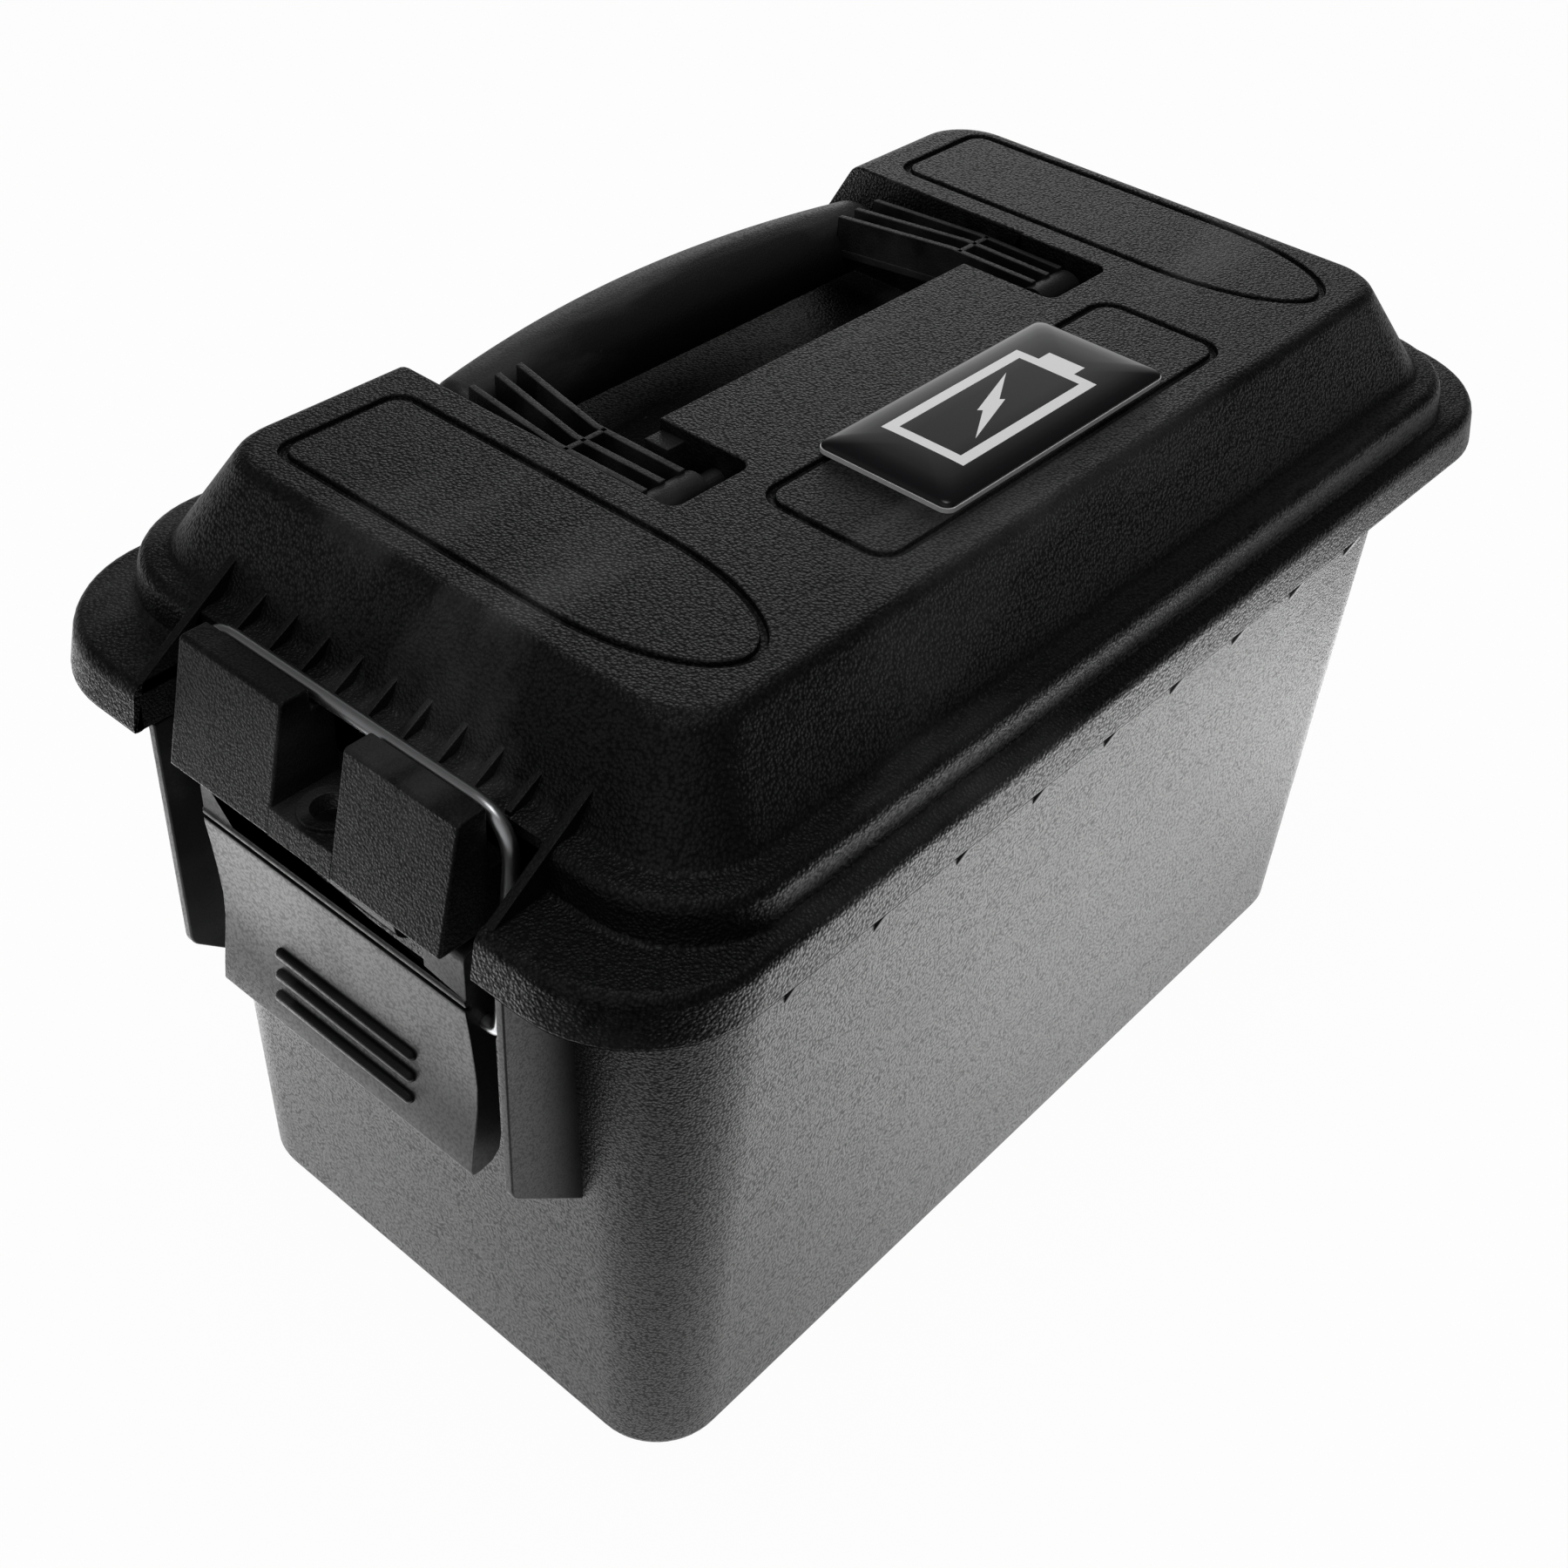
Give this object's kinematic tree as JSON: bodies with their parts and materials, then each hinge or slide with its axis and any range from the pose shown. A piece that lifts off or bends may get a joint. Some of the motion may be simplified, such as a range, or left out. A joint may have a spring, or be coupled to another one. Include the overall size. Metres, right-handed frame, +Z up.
{
  "type": "battery safe case",
  "caption": "Hard plastic storage and charging case for lithium batteries, with a hinged lid, a folding handle and a wire-bail latch with padlock hole.",
  "frame": {"origin": "centre of the footprint, on the surface the case stands on", "axes": "+Z up, +Y along the length towards the rear hinge (latch at -Y), +X across the width, away from the handle grip"},
  "size_m": [0.1618, 0.2838, 0.1812],
  "materials": {
    "tub_plastic": "black polypropylene, fine moulded grain",
    "lid_plastic": "black polypropylene, coarser pebble grain",
    "seal_rubber": "soft black foam rubber",
    "latch_plastic": "black polypropylene, smooth satin",
    "pin_steel": "plain drawn steel",
    "bail_steel": "bright zinc-plated wire",
    "handle_plastic": "black polypropylene, fine grain",
    "badge_print": "white film with a printed face",
    "badge_resin": "clear domed resin over black print"
  },
  "bodies": {
    "tub": {"tub": "tub_plastic", "tub_collar": "tub_plastic", "latch_pin": "pin_steel", "hinge_pin_left": "pin_steel", "hinge_pin_right": "pin_steel"},
    "lid": {"lid": "lid_plastic", "lid_seal": "seal_rubber", "badge_label": "badge_print", "badge_dome": "badge_resin", "handle_pin_front": "handle_plastic", "handle_pin_rear": "handle_plastic"},
    "handle": {"handle": "handle_plastic"},
    "lever": {"latch_lever": "latch_plastic"},
    "bail": {"bail": "bail_steel"}
  },
  "joints": [
    {"name": "lid_hinge", "type": "hinge", "parent": "tub", "child": "lid", "pos_m": [0, 0.1365, 0.138], "axis": [-1, 0, 0], "range_deg": [0, 110]},
    {"name": "handle_fold", "type": "hinge", "parent": "lid", "child": "handle", "pos_m": [0.0045, 0.0015, 0.1715], "axis": [0, 1, 0], "range_deg": [0, 95]},
    {"name": "lever_swing", "type": "hinge", "parent": "tub", "child": "lever", "pos_m": [0, -0.131, 0.13], "axis": [-1, 0, 0], "range_deg": [0, 90]},
    {"name": "bail_swing", "type": "hinge", "parent": "lever", "child": "bail", "pos_m": [0, -0.132, 0.1175], "axis": [-1, 0, 0], "range_deg": [-67, 0]}
  ],
  "couplings": [
    {"joint": "bail_swing", "follows": "lever_swing", "ratio": -0.735}
  ]
}
